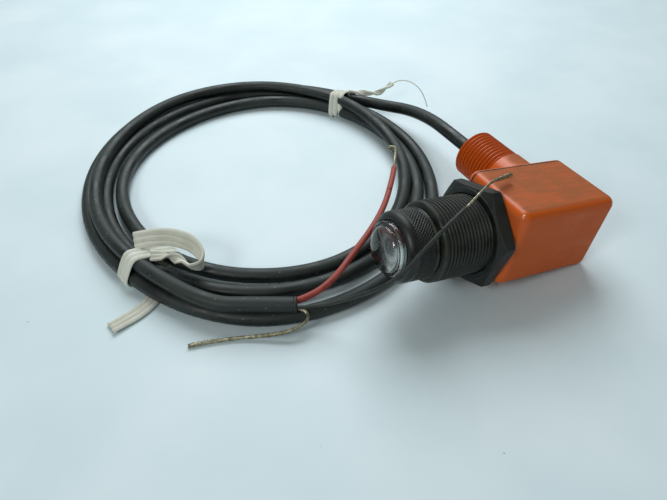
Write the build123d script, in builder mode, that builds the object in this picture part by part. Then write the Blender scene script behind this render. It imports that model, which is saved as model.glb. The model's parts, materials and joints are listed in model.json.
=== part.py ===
"""Photoelectric sensor: a remote photo head with a threaded barrel, a lens and a coiled cable.

The head lies on a table, propped by its rear bottom edge with its barrel raised a little.
Head pieces are drawn in the head's own axes: +Z along the barrel towards the lens, +X through
the printed side and +Y through the top, with zero where the barrel meets the block.
SEAT then lays them on the table, where +Z is up and the barrel points to -Y.
Cable, ties and bare leads are drawn where they lie on the table. Millimetres.
"""
import os
from math import cos, pi, radians, sin, tan

from build123d import *

os.makedirs("parts", exist_ok=True)

# Block
BLOCK_WIDTH = 32.5  # between the printed side and the conduit side, and from top to bottom
BLOCK_LENGTH = 47.0
BLOCK_X = 1.8  # the block's middle, off the barrel's axis
BLOCK_Y = 2.6
BLOCK_ROUND = 3.5
WALL = 2.5
COVER = 3.0  # thickness of the conduit cover
SIDE_X = BLOCK_X - BLOCK_WIDTH / 2  # conduit side
SEAM_X = SIDE_X + COVER
SEAM_GAP = 0.12  # on each side of the seam

# Barrel and nose, M30 x 1.5
BARREL_R = 15.0
BARREL_PITCH = 1.5
THREAD_DEPTH = 0.92
BARREL_FRONT = 27.0
THREAD_FRONT = 25.0
BARREL_BORE_R = 9.5
SHANK_R = 11.0
SHANK_REAR = -5.0
NOSE_R = 11.3
NOSE_FRONT = 35.4

# Nut and its gasket
NUT_FLATS = 36.0
NUT_THICK = 5.8
NUT_TURN = 18.0  # degrees from +X to the first corner
GASKET_THICK = 0.8
THREAD_CLEAR = 0.08

# Lens collar and lens
COLLAR_R = 13.0
COLLAR_REAR = 27.5
COLLAR_FRONT = 38.6
COLLAR_RIM = 1.5
KNURL_DEPTH = 0.35
LENS_FLANGE_R = 11.0
LENS_R = 9.9
LENS_REAR = 36.2
LENS_FLANGE_FRONT = 37.4
LENS_EDGE = 41.6
LENS_CROWN = 44.6

# Conduit stub, 1/2 inch conduit thread
STUB_Y = 4.5
STUB_Z = -32.5
STUB_R = 10.5
STUB_BORE_R = 6.5
STUB_END_X = -46.0
STUB_PITCH = 1.814
STUB_THREADS = 11
STUB_THREAD_DEPTH = 1.2

# Cable, its conductors and the wires that show at its cut end
CABLE_R = 3.0
CORE_R = 1.25
BLACK_R = 0.85
DRAIN_R = 0.6

# Lie of the head
TILT = 10.0


def block_form():
    """Add the moulded block's rounded outer form to the builder that calls this."""
    with Locations((BLOCK_X, BLOCK_Y, -BLOCK_LENGTH / 2)):
        Box(BLOCK_WIDTH, BLOCK_WIDTH, BLOCK_LENGTH)
    fillet(edges(), BLOCK_ROUND)


def ridges(start, end, pitch, crest, depth):
    """Points (along, radius) of a thread's ridges from start to end, both ends at the root."""
    points = []
    along = start
    while along + pitch <= end + 0.001:
        points.append((along, crest - depth))
        points.append((along + 0.44 * pitch, crest))
        points.append((along + 0.56 * pitch, crest))
        along += pitch
    points.append((along, crest - depth))
    return points


def turned(outline):
    """Revolve a closed (along, radius) outline about the barrel's axis."""
    with BuildSketch(Plane.XZ) as section:
        with BuildLine():
            Polyline(*[(radius, along) for along, radius in outline], close=True)
        make_face()
    revolve(section.sketch, axis=Axis.Z)


# Block: a shell, open on the conduit side
CAVITY_X = (SEAM_X + BLOCK_X + BLOCK_WIDTH / 2 - WALL) / 2
CAVITY_WIDE = BLOCK_X + BLOCK_WIDTH / 2 - WALL - SEAM_X
with BuildPart() as housing_block:
    block_form()
    split(bisect_by=Plane.YZ.offset(SEAM_X + SEAM_GAP), keep=Keep.TOP)
    with Locations((CAVITY_X, BLOCK_Y, -BLOCK_LENGTH / 2)):
        Box(CAVITY_WIDE, BLOCK_WIDTH - 2 * WALL, BLOCK_LENGTH - 2 * WALL, mode=Mode.SUBTRACT)
    with Locations((0, 0, -WALL / 2)):
        Cylinder(SHANK_R, WALL + 1, mode=Mode.SUBTRACT)

# Conduit cover: the block's fourth side, two rails that locate it, a neck and a threaded stub
STUB_PLANE = Plane(origin=(0, STUB_Y, STUB_Z), x_dir=(0, 0, 1), z_dir=(-1, 0, 0))
SPIGOT = 2.0
RAIL = 2.2
THREAD_START = -STUB_END_X - STUB_PITCH * STUB_THREADS - 0.6
stub_outline = [(-SEAM_X, 0), (-SEAM_X, STUB_R + 0.3), (THREAD_START, STUB_R + 0.3)]
stub_outline += ridges(THREAD_START + 0.3, -STUB_END_X - 0.3, STUB_PITCH, STUB_R, STUB_THREAD_DEPTH)
stub_outline += [(-STUB_END_X, STUB_R - STUB_THREAD_DEPTH), (-STUB_END_X, 0)]
with BuildPart() as conduit_cover:
    block_form()
    split(bisect_by=Plane.YZ.offset(SEAM_X - SEAM_GAP), keep=Keep.BOTTOM)
    with BuildSketch(Plane(origin=(0, STUB_Y, STUB_Z), x_dir=(-1, 0, 0), z_dir=(0, -1, 0))):
        with BuildLine():
            Polyline(*stub_outline, close=True)
        make_face()
    revolve(axis=Axis((0, STUB_Y, STUB_Z), (-1, 0, 0)))
    with BuildSketch(Plane.YZ.offset(SEAM_X - SEAM_GAP)):
        with Locations((BLOCK_Y, -BLOCK_LENGTH / 2)):
            with GridLocations(BLOCK_WIDTH - 2 * WALL - RAIL - 0.3, 0, 2, 1):
                Rectangle(RAIL, BLOCK_LENGTH - 5 * WALL)
    extrude(amount=SPIGOT)
    with BuildSketch(STUB_PLANE.offset(-SEAM_X - 2)):
        Circle(STUB_BORE_R)
    extrude(amount=-STUB_END_X + SEAM_X + 4, mode=Mode.SUBTRACT)

# Barrel: shank through the block, M30 thread, plain front band and the nose that takes the collar
barrel_outline = [(SHANK_REAR, BARREL_BORE_R), (SHANK_REAR, SHANK_R - 0.05), (0, SHANK_R - 0.05)]
barrel_outline += [(0, BARREL_R - THREAD_DEPTH)]
barrel_outline += ridges(0.5, THREAD_FRONT, BARREL_PITCH, BARREL_R, THREAD_DEPTH)
barrel_outline += [(THREAD_FRONT + 0.5, BARREL_R - 0.1), (BARREL_FRONT - 0.8, BARREL_R - 0.1)]
barrel_outline += [(BARREL_FRONT, BARREL_R - 0.9), (BARREL_FRONT, NOSE_R)]
barrel_outline += [(NOSE_FRONT, NOSE_R), (NOSE_FRONT, BARREL_BORE_R)]
with BuildPart() as barrel:
    turned(barrel_outline)

# Flat gasket between the block and the panel
with BuildPart() as nut_gasket:
    with BuildSketch():
        Circle(BARREL_R + 2.0)
        Circle(BARREL_R + THREAD_CLEAR, mode=Mode.SUBTRACT)
    extrude(amount=GASKET_THICK)

# Mounting nut: a hexagon turned to a cone at its front corners, with a raised washer face
NUT_FRONT = GASKET_THICK + NUT_THICK
CORNER_R = NUT_FLATS / 2 / cos(radians(30))
NUT_FACE_R = NUT_FLATS / 2 - 0.6
with BuildPart() as mounting_nut:
    with BuildSketch(Plane.XY.offset(GASKET_THICK)):
        RegularPolygon(radius=CORNER_R, side_count=6, rotation=NUT_TURN)
    extrude(amount=NUT_THICK)
    with BuildSketch(Plane.XZ):
        with BuildLine():
            Polyline(
                (0, GASKET_THICK),
                (CORNER_R - 0.6, GASKET_THICK),
                (CORNER_R + 0.2, GASKET_THICK + 0.6),
                (CORNER_R + 0.2, NUT_FRONT - 1.9),
                (NUT_FACE_R, NUT_FRONT - 0.3),
                (NUT_FACE_R, NUT_FRONT),
                (0, NUT_FRONT),
                close=True,
            )
        make_face()
    revolve(axis=Axis.Z, mode=Mode.INTERSECT)
    Cylinder(BARREL_R + THREAD_CLEAR, 4 * NUT_THICK, mode=Mode.SUBTRACT)
    bore_edge = edges().filter_by(GeomType.CIRCLE).filter_by(lambda e: e.radius < BARREL_R + 1)
    chamfer(bore_edge, 0.4)

# Lens collar: knurled between two smooth rims, with a lip that holds the lens's flange
collar_outline = [
    (COLLAR_REAR, NOSE_R + THREAD_CLEAR),
    (COLLAR_REAR, COLLAR_R - 0.4),
    (COLLAR_REAR + 0.4, COLLAR_R),
    (COLLAR_REAR + COLLAR_RIM, COLLAR_R),
    (COLLAR_REAR + COLLAR_RIM + 0.2, COLLAR_R - KNURL_DEPTH),
    (COLLAR_FRONT - COLLAR_RIM - 0.2, COLLAR_R - KNURL_DEPTH),
    (COLLAR_FRONT - COLLAR_RIM, COLLAR_R),
    (COLLAR_FRONT - 0.9, COLLAR_R),
    (COLLAR_FRONT, COLLAR_R - 0.9),
    (COLLAR_FRONT, LENS_R + 0.1),
    (LENS_FLANGE_FRONT + 0.05, LENS_R + 0.1),
    (LENS_FLANGE_FRONT + 0.05, NOSE_R + THREAD_CLEAR),
]
KNURL_COUNT = 60
KNURL_LONG = COLLAR_FRONT - COLLAR_REAR - 2 * COLLAR_RIM - 0.2
with BuildPart() as lens_collar:
    turned(collar_outline)
    with PolarLocations(COLLAR_R - KNURL_DEPTH, KNURL_COUNT):
        with Locations((0, 0, (COLLAR_REAR + COLLAR_FRONT) / 2)):
            Box(2 * KNURL_DEPTH, 0.6, KNURL_LONG)

# Lens: a flange under the collar's lip, an edge that stands proud of it, and a domed front
DOME_R = LENS_R - 1.4
with BuildPart() as lens:
    with BuildSketch(Plane.XZ):
        with BuildLine():
            Polyline(
                (0, LENS_REAR),
                (LENS_FLANGE_R, LENS_REAR),
                (LENS_FLANGE_R, LENS_FLANGE_FRONT),
                (LENS_R, LENS_FLANGE_FRONT),
                (LENS_R, LENS_EDGE),
                (DOME_R, LENS_EDGE),
            )
            TangentArc((0, LENS_CROWN), (DOME_R, LENS_EDGE), tangent=(1, 0))
            Line((0, LENS_CROWN), (0, LENS_REAR))
        make_face()
    revolve(axis=Axis.Z)

# Seal between the nose and the lens's flange
with BuildPart() as lens_seal_ring:
    with BuildSketch(Plane.XY.offset(NOSE_FRONT + 0.02)):
        Circle(NOSE_R - 0.2)
        Circle(BARREL_BORE_R + 0.2, mode=Mode.SUBTRACT)
    extrude(amount=LENS_REAR - NOSE_FRONT - 0.04)

# Holder in the barrel that keeps the photo element on the lens's axis
HOLDER_REAR = -5.0
HOLDER_FRONT = 20.0
ELEMENT_R = 4.0
with BuildPart() as element_holder:
    with BuildSketch(Plane.XY.offset(HOLDER_REAR)):
        Circle(BARREL_BORE_R - 0.05)
    extrude(amount=HOLDER_FRONT - HOLDER_REAR)
    with BuildSketch(Plane.XY.offset(HOLDER_REAR)):
        Circle(BARREL_BORE_R - 1.6)
    extrude(amount=HOLDER_FRONT - HOLDER_REAR - 6, mode=Mode.SUBTRACT)
    with Locations((0, 0, HOLDER_FRONT - 3)):
        Cylinder(ELEMENT_R + 0.05, 8, mode=Mode.SUBTRACT)

# Photo element: a flanged metal can with a flat glass window
ELEMENT_BASE = HOLDER_FRONT - 6.6
ELEMENT_FRONT = HOLDER_FRONT + 1.5
with BuildPart() as photo_element:
    with BuildSketch(Plane.XY.offset(ELEMENT_BASE - 1)):
        Circle(ELEMENT_R + 0.6)
    extrude(amount=1)
    with BuildSketch(Plane.XY.offset(ELEMENT_BASE)):
        Circle(ELEMENT_R)
    extrude(amount=ELEMENT_FRONT - ELEMENT_BASE)
    with Locations((0, 0, ELEMENT_FRONT)):
        Cylinder(2.6, 1.0, mode=Mode.SUBTRACT)

with BuildPart() as element_window:
    with BuildSketch(Plane.XY.offset(ELEMENT_FRONT - 0.5)):
        Circle(2.55)
    extrude(amount=0.4)

# Circuit board in the block, upright along the printed side, with its components
BOARD_X = 8.0
BOARD_THICK = 1.6
BOARD_PLANE = Plane.YZ.offset(BOARD_X)
BOARD_Z = -24.0
with BuildPart() as circuit_board:
    with BuildSketch(BOARD_PLANE):
        with Locations((BLOCK_Y, BOARD_Z)):
            RectangleRounded(24, 32, 1)
    extrude(amount=BOARD_THICK)

# Two wires from the photo element down to the board
LEG_R = 0.3
LEG_SPREAD = 1.6
with BuildPart() as element_legs:
    for side in (-1, 1):
        with BuildLine() as leg_path:
            FilletPolyline(
                (0, side * LEG_SPREAD, ELEMENT_BASE - 1),
                (0, side * LEG_SPREAD, -11),
                (BOARD_X, side * LEG_SPREAD, -11),
                radius=2,
            )
        with BuildSketch(Plane(origin=leg_path.line @ 0, z_dir=leg_path.line % 0)):
            Circle(LEG_R)
        sweep(path=leg_path.line)

RESISTOR_PLANE = Plane.YZ.offset(BOARD_X + BOARD_THICK)
with BuildPart() as resistors:
    for row in range(3):
        with Locations((BOARD_X + BOARD_THICK + 1.15, BLOCK_Y - 6 + 6 * row, -33)):
            Cylinder(1.15, 6.3)

with BuildPart() as amplifier_chip:
    with BuildSketch(RESISTOR_PLANE):
        with Locations((BLOCK_Y, BOARD_Z + 6)):
            RectangleRounded(6.4, 9.8, 0.4)
    extrude(amount=3.2)

with BuildPart() as capacitor:
    with BuildSketch(Plane(origin=(BOARD_X, BLOCK_Y - 6, -18), z_dir=(-1, 0, 0))):
        Circle(2.5)
    extrude(amount=8)
    fillet(edges().group_by(Axis.X)[0], 0.5)

with BuildPart() as terminal_posts:
    for side in (-1, 0, 1):
        with Locations((BOARD_X - 1.5, STUB_Y + 3.0 * side, -38)):
            Box(3, 1.2, 1.2)

# Cable in the stub: bush, jacket, crimp ring, and the conductors that go on to the board
BUSH_LONG = 16.0
INNER_END_X = -7.0
with BuildPart() as cable_bush:
    with BuildSketch(STUB_PLANE.offset(-STUB_END_X - BUSH_LONG)):
        Circle(STUB_BORE_R)
        Circle(CABLE_R, mode=Mode.SUBTRACT)
    extrude(amount=BUSH_LONG - 0.8)

with BuildPart() as cable_inner_run:
    with BuildSketch(STUB_PLANE.offset(-INNER_END_X)):
        Circle(CABLE_R)
    extrude(amount=-STUB_END_X + INNER_END_X)

with BuildPart() as cable_clamp_ring:
    with BuildSketch(STUB_PLANE.offset(-INNER_END_X + 1)):
        Circle(CABLE_R + 1.6)
        Circle(CABLE_R, mode=Mode.SUBTRACT)
    extrude(amount=2.5)


def inner_conductor(side):
    """Sweep one conductor from the cut jacket to its post into the builder that calls this."""
    with BuildLine() as path:
        FilletPolyline(
            (INNER_END_X, STUB_Y + 1.4 * side, STUB_Z),
            (INNER_END_X + 5, STUB_Y + 1.4 * side, STUB_Z),
            (INNER_END_X + 8, STUB_Y + 3.0 * side, -38),
            (BOARD_X - 3, STUB_Y + 3.0 * side, -38),
            radius=(2.2, 2.2),
        )
    with BuildSketch(Plane(origin=path.line @ 0, z_dir=path.line % 0)) as section:
        Circle(CORE_R)
    sweep(section.sketch, path=path.line)


with BuildPart() as inner_conductor_red:
    inner_conductor(1)
with BuildPart() as inner_conductor_black:
    inner_conductor(-1)

HEAD = {
    "housing_block": housing_block,
    "conduit_cover": conduit_cover,
    "barrel": barrel,
    "nut_gasket": nut_gasket,
    "mounting_nut": mounting_nut,
    "lens_collar": lens_collar,
    "lens": lens,
    "lens_seal_ring": lens_seal_ring,
    "element_holder": element_holder,
    "photo_element": photo_element,
    "element_window": element_window,
    "element_legs": element_legs,
    "circuit_board": circuit_board,
    "resistors": resistors,
    "amplifier_chip": amplifier_chip,
    "capacitor": capacitor,
    "terminal_posts": terminal_posts,
    "cable_bush": cable_bush,
    "cable_inner_run": cable_inner_run,
    "cable_clamp_ring": cable_clamp_ring,
    "inner_conductor_red": inner_conductor_red,
    "inner_conductor_black": inner_conductor_black,
}

# The head's lie: the barrel points to -Y and up by TILT, and the head's box stands on the origin
BARREL_DIRECTION = Vector(0, -cos(radians(TILT)), sin(radians(TILT)))
LEANING = Plane(origin=(0, 0, 0), x_dir=(1, 0, 0), z_dir=BARREL_DIRECTION).location
boxes = [(LEANING * piece.part).bounding_box() for piece in HEAD.values()]
low = [min(tuple(box.min)[axis] for box in boxes) for axis in range(3)]
high = [max(tuple(box.max)[axis] for box in boxes) for axis in range(3)]
SEAT = Pos(-(low[0] + high[0]) / 2, -(low[1] + high[1]) / 2, -low[2]) * LEANING
print("head box, mm:", [round(b - a, 2) for a, b in zip(low, high)])


def seated(x, y, z):
    """A point of the head's own axes, where it lies on the table."""
    return (SEAT * Pos(x, y, z)).position


CABLE_EXIT = seated(STUB_END_X, STUB_Y, STUB_Z)
print("barrel axis at the block:", seated(0, 0, 0))
print("barrel direction:", BARREL_DIRECTION)
print("cable exit:", CABLE_EXIT)
for name, point in {
    "barrel thread": (0, 0, 13),
    "conduit thread": (-36, STUB_Y, STUB_Z),
    "back face": (BLOCK_X, BLOCK_Y, -BLOCK_LENGTH),
    "nut": (0, 0, GASKET_THICK),
    "collar": (0, 0, COLLAR_REAR),
}.items():
    print(name, "at", seated(*point))


# Coil: a low ring between two ellipses, wider at the far side and narrow at the head
COIL_HEIGHT = 10.0
COIL_TURN = -10.0
COIL_OUTER = {"middle": (-85.0, -53.0), "half": (93.0, 84.0)}
COIL_INNER = {"middle": (-78.0, -51.0), "half": (64.5, 59.0)}
LAYER = 5.9  # top of the first layer of turns


def on_coil(ellipse, angle):
    """The point of a coil ellipse at this angle, in degrees."""
    along, across = ellipse["half"]
    turned_point = Vector(along * cos(radians(angle)), across * sin(radians(angle))).rotate(
        Axis.Z, COIL_TURN
    )
    return Vector(*ellipse["middle"]) + turned_point


# Cable from the stub down to the coil, and its radii
LEAD_ROUTE = [
    tuple(CABLE_EXIT),
    (-51.0, 30.38, 19.84),
    (-70.0, 33.3, 16.8),
    (-90.0, 33.6, 12.4),
    (-106.0, 27.6, 8.6),
    (-118.5, 18.0, 6.4),
]
TAIL_START = Vector(-7.9, -103.8, 8.95)
TAIL_END = Vector(6.5, -75.3, 8.95)
TAIL_DIRECTION = (TAIL_END - TAIL_START).normalized()
TAIL_SIDE = Vector(0, 0, 1).cross(TAIL_DIRECTION)
CORE_OFFSET = 1.4
RED_START = TAIL_END + TAIL_SIDE * CORE_OFFSET + Vector(0, 0, 0.5)
BLACK_START = TAIL_END - TAIL_SIDE * CORE_OFFSET + Vector(0, 0, 0.2)
DRAIN_START = TAIL_END - Vector(0, 0, 1.7)
RED_ROUTE = [
    tuple(RED_START),
    (6.4, -68.0, 10.4),
    (3.4, -57.5, 12.2),
    (-4.5, -45.5, 13.6),
    (-13.0, -33.0, 14.2),
    (-24.0, -20.8, 13.8),
    (-38.0, -9.2, 12.6),
    (-51.5, 1.0, 11.9),
    (-61.0, 7.0, 12.2),
]
BLACK_ROUTE = [
    tuple(BLACK_START),
    (11.4, -68.6, 9.8),
    (15.6, -61.5, 13.2),
    (21.2, -55.2, 19.2),
    (26.6, -50.2, 26.2),
    (28.8, -44.6, 33.2),
    (28.0, -37.6, 39.0),
    (26.4, -29.4, 43.4),
    (24.0, -20.6, 46.0),
    (20.0, -11.8, 46.8),
    (15.4, -3.4, 45.4),
    (11.9, 4.0, 42.2),
    (10.2, 10.6, 40.6),
]
DRAIN_ROUTE = [
    tuple(DRAIN_START),
    (9.6, -70.2, 7.1),
    (14.8, -69.4, 6.5),
    (17.6, -74.4, 5.0),
    (16.2, -81.2, 3.0),
    (12.0, -88.4, 1.5),
    (7.4, -96.4, 0.8),
    (3.8, -105.2, 0.75),
    (1.2, -114.4, 0.75),
]


def arc_radii(route):
    """The radius of each corner's arc: 0.45 of the shorter run over the tangent of half the turn."""
    radii = []
    for before, here, after in zip(route, route[1:], route[2:]):
        first = Vector(*here) - Vector(*before)
        second = Vector(*after) - Vector(*here)
        half_turn = radians(first.get_angle(second)) / 2
        radii.append(0.45 * min(first.length, second.length) / tan(half_turn))
    return radii


def tube(route, radius, label):
    """Sweep a round section along the route's straight runs and arcs, and report it."""
    radii = arc_radii(route)
    with BuildLine() as path:
        FilletPolyline(*route, radius=radii)
    with BuildSketch(Plane(origin=path.line @ 0, z_dir=path.line % 0)) as section:
        Circle(radius)
    sweep(section.sketch, path=path.line)
    length = path.wire().length
    print(f"{label}: {length:.1f} mm, smallest arc {min(radii):.1f} mm, turns at {len(radii)} points")
    return pi * radius**2 * length


CORDS = {}
for label, route, radius in (
    ("cable_lead", LEAD_ROUTE, CABLE_R),
    ("lead_red", RED_ROUTE, CORE_R),
    ("lead_black", BLACK_ROUTE, BLACK_R),
    ("drain_wire", DRAIN_ROUTE, DRAIN_R),
):
    with BuildPart() as cord:
        expected = tube(route, radius, label)
    print(f"  volume over section x length: {cord.part.volume / expected:.4f}")
    CORDS[label] = cord

# The cable's last stretch, lying on the coil, cut square
with BuildPart() as cable_tail:
    with BuildSketch(Plane(origin=TAIL_START, z_dir=TAIL_DIRECTION)):
        Circle(CABLE_R)
    extrude(amount=(TAIL_END - TAIL_START).length)

# Ties: a flat strap round the coil's section, with its ends lying on the table
STRAP_WIDE = 8.0
STRAP_THICK = 0.8
STRAP_END = 16.0


def strap(angle, end_turn):
    """Add a tie's loop at this angle of the coil, and its end turned by end_turn on the table."""
    inner, outer = on_coil(COIL_INNER, angle), on_coil(COIL_OUTER, angle)
    across = (outer - inner).normalized()
    wide = (outer - inner).length + 0.6
    plane = Plane(origin=(inner + outer) / 2, x_dir=across, z_dir=across.cross(Vector(0, 0, 1)))
    tall = COIL_HEIGHT + 0.3
    with BuildSketch(plane.offset(-STRAP_WIDE / 2)) as section:
        with Locations((0, tall / 2 + STRAP_THICK)):
            RectangleRounded(wide + 2 * STRAP_THICK, tall + 2 * STRAP_THICK, 2.4)
            RectangleRounded(wide, tall, 1.6, mode=Mode.SUBTRACT)
    extrude(section.sketch, amount=STRAP_WIDE)
    root = outer + across * 2.4
    with BuildSketch(Plane(origin=root, x_dir=across.rotate(Axis.Z, end_turn))) as end:
        with Locations((STRAP_END / 2, 0)):
            Rectangle(STRAP_END, STRAP_WIDE - 2)
    extrude(end.sketch, amount=STRAP_THICK)


with BuildPart() as tie_front:
    strap(-52, 55)
with BuildPart() as tie_back:
    strap(133, -50)

NOTCH_LONG = 54.0
NOTCH_INNER = 14.0
NOTCH_OUTER = 26.0
with BuildPart() as cable_coil:
    with BuildSketch():
        with Locations(COIL_OUTER["middle"]):
            Ellipse(*COIL_OUTER["half"], rotation=COIL_TURN)
        with Locations(COIL_INNER["middle"]):
            Ellipse(*COIL_INNER["half"], rotation=COIL_TURN, mode=Mode.SUBTRACT)
    extrude(amount=COIL_HEIGHT)
    fillet(edges().group_by(Axis.Z)[-1], 2.5)
    with BuildSketch(Plane(origin=(TAIL_START.X, TAIL_START.Y, LAYER), x_dir=TAIL_DIRECTION)):
        with Locations((NOTCH_LONG / 2, (NOTCH_INNER - NOTCH_OUTER) / 2)):
            Rectangle(NOTCH_LONG, NOTCH_INNER + NOTCH_OUTER)
    extrude(amount=COIL_HEIGHT, mode=Mode.SUBTRACT)
    add(tie_front.part, mode=Mode.SUBTRACT)
    add(tie_back.part, mode=Mode.SUBTRACT)
    add(CORDS["cable_lead"].part, mode=Mode.SUBTRACT)

ON_TABLE = CORDS | {
    "cable_tail": cable_tail,
    "cable_coil": cable_coil,
    "tie_front": tie_front,
    "tie_back": tie_back,
}

# Every piece gets its name and its own file
for label, piece in HEAD.items():
    piece.part.location = SEAT
    piece.part.label = label
    export_step(piece.part, f"parts/{label}.step")
for label, piece in ON_TABLE.items():
    piece.part.label = label
    export_step(piece.part, f"parts/{label}.step")
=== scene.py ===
# %% [markdown]
# # A photoelectric sensor and its coiled cable
#
# The CAD model holds the sizes, the joints and the plain shape of every piece. These cells
# add what the eye sees: threads, a knurl, a clear lens, cable laid turn by turn, ties, and
# a finish for each material. The frame comes first, so that every piece has a place to ride.

# %% The frame
import json
from math import atan2, cos, degrees, pi, radians, sin

import bmesh
import bpy
from mathutils import Matrix, Vector


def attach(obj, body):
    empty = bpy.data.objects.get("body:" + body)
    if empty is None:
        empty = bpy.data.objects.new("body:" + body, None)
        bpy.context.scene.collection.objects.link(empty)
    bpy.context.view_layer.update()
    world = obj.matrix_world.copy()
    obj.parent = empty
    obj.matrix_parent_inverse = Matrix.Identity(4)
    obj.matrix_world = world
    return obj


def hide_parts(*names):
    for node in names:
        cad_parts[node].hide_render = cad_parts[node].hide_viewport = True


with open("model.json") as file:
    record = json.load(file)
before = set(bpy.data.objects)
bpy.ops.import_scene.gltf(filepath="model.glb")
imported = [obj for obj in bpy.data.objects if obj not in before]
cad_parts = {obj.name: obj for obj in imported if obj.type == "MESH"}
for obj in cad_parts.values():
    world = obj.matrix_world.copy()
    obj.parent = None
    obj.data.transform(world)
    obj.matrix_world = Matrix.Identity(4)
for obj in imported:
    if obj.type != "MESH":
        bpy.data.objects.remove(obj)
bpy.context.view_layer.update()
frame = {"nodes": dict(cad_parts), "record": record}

MM = 0.001

# %% [markdown]
# ## The head's own axes
#
# The head leans on the table, so its round pieces are easier to write in its own axes: +Z
# along the barrel, +X through the printed side, +Y through the top. The record's barrel
# thread says where that axis is. One matrix then lays each finished mesh in its place.

# %% Head axes
mounts = {mount["name"]: mount for mount in frame["record"]["mounts"]}
THREAD_MIDDLE = 13.0
BARREL_AXIS = Vector(mounts["barrel_thread"]["axis"]).normalized()
HEAD_ORIGIN = Vector(mounts["barrel_thread"]["pos_m"]) - BARREL_AXIS * THREAD_MIDDLE * MM
SIDE_AXIS = Vector((1, 0, 0))


def seat_at(place, side, along):
    """The matrix that lays +Z along one direction and +X to its side, from a place in metres."""
    turn = Matrix((side, along.cross(side), along)).transposed().to_4x4()
    return Matrix.Translation(place) @ turn


SEAT = seat_at(HEAD_ORIGIN, SIDE_AXIS, BARREL_AXIS)
TILT = atan2(BARREL_AXIS.z, -BARREL_AXIS.y)
print(f"barrel axis starts at {[round(v / MM, 2) for v in HEAD_ORIGIN]} mm, tilt {degrees(TILT):.1f}")

# %% [markdown]
# ## Camera
#
# A view from above the lens side through a slightly wide lens, as someone sees the part on
# a bench. The camera doesn't roll, so one direction and one focal length are enough.

# %% Camera
CAMERA_PLACE = Vector((134.8, -123.94, 160.7)) * MM
CAMERA_AIM = Vector((-0.65985, 0.32885, -0.67561))
FOCAL_MM = 30.66
camera_data = bpy.data.cameras.new("camera")
camera_data.lens = FOCAL_MM
camera_data.sensor_width = 36.0
camera_data.clip_start = 0.01
camera = bpy.data.objects.new("camera", camera_data)
camera.location = CAMERA_PLACE
camera.rotation_euler = CAMERA_AIM.to_track_quat("-Z", "Y").to_euler()
bpy.context.collection.objects.link(camera)
bpy.context.scene.camera = camera
print("camera", [round(v, 4) for v in CAMERA_PLACE])

# %% [markdown]
# ## Small tools
#
# One function turns a hex colour into linear light. One adds a shader node of any kind with
# its settings and links, and one starts a material. One makes an object from points and
# faces and puts it on a body. Everything else is written where it is needed.

# %% Small tools


def linear(hex_colour):
    """A six-digit sRGB hex colour as linear RGBA."""
    parts = [int(hex_colour[i : i + 2], 16) / 255 for i in (1, 3, 5)]
    return (*(c / 12.92 if c <= 0.04045 else ((c + 0.055) / 1.055) ** 2.4 for c in parts), 1.0)


def add_node(tree, kind, inputs=None, **settings):
    """Add a node; inputs maps a socket's name or number to a value or to another node's output."""
    node = tree.nodes.new(kind)
    for name, value in settings.items():
        setattr(node, name, value)
    for key, value in (inputs or {}).items():
        if isinstance(value, bpy.types.NodeSocket):
            tree.links.new(value, node.inputs[key])
        else:
            node.inputs[key].default_value = value
    return node


def new_material(name):
    """An empty node material with its output and a Principled shader, ready to be filled."""
    material = bpy.data.materials.new(name)
    material.use_nodes = True
    tree = material.node_tree
    tree.nodes.clear()
    shader = add_node(tree, "ShaderNodeBsdfPrincipled")
    add_node(tree, "ShaderNodeOutputMaterial", {"Surface": shader.outputs[0]})
    print("material", name)
    return material, tree, shader


def new_piece(name, shapes, body, replaces=(), matrix=None, wear_and_sheen=()):
    """One mesh piece from (points in mm, faces) shapes; matrix lays it; wear_and_sheen is a value per
    point for rubbed wear and a painted highlight.
    """
    points, faces = [], []
    for shape_points, shape_faces in shapes:
        faces += [[corner + len(points) for corner in face] for face in shape_faces]
        points += shape_points
    mesh = bpy.data.meshes.new(name)
    mesh.from_pydata([Vector(p) * MM for p in points], [], faces)
    if matrix:
        mesh.transform(matrix)
    mesh.update()
    shell = bmesh.new()
    shell.from_mesh(mesh)
    bmesh.ops.recalc_face_normals(shell, faces=shell.faces)
    shell.to_mesh(mesh)
    shell.free()
    mesh.shade_smooth()
    if wear_and_sheen:
        mesh.attributes.new("wear_and_sheen", "FLOAT", "POINT").data.foreach_set("value", wear_and_sheen)
    piece = bpy.data.objects.new(name, mesh)
    bpy.context.collection.objects.link(piece)
    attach(piece, body)
    if replaces:
        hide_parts(*replaces)
    print(f"{name}: {len(faces)} faces on {body}")
    return piece


# %% [markdown]
# ## The cable's way
#
# The cable leaves the stub, comes down to the table and is wound a little over three and a
# half turns before its cut end. Cable is a fixed length of something stiff, so one smooth
# curve carries the whole of it. Its first points are listed. Each turn is then an
# angle round the coil, with a lane across the coil's width and a height: the lanes change
# slowly, so the turns lie beside each other, and the last turn climbs on top of the others.

# %% Cable route
CABLE_DIAMETER = 6.0
CABLE_EXIT = (-32.88, 30.35, 19.84)
LEAD_ROUTE = [
    CABLE_EXIT,
    (-51.0, 30.38, 19.84),
    (-70.0, 33.3, 16.8),
    (-90.0, 33.6, 12.4),
    (-106.0, 27.6, 8.6),
]
TAIL_START = (-7.9, -103.8, 8.95)
TAIL_END = (6.5, -75.3, 8.95)
COIL_TURN = -10.0
COIL_OUTER = ((-85.0, -53.0), (93.0, 84.0))
COIL_INNER = ((-78.0, -51.0), (64.5, 59.0))
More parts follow.
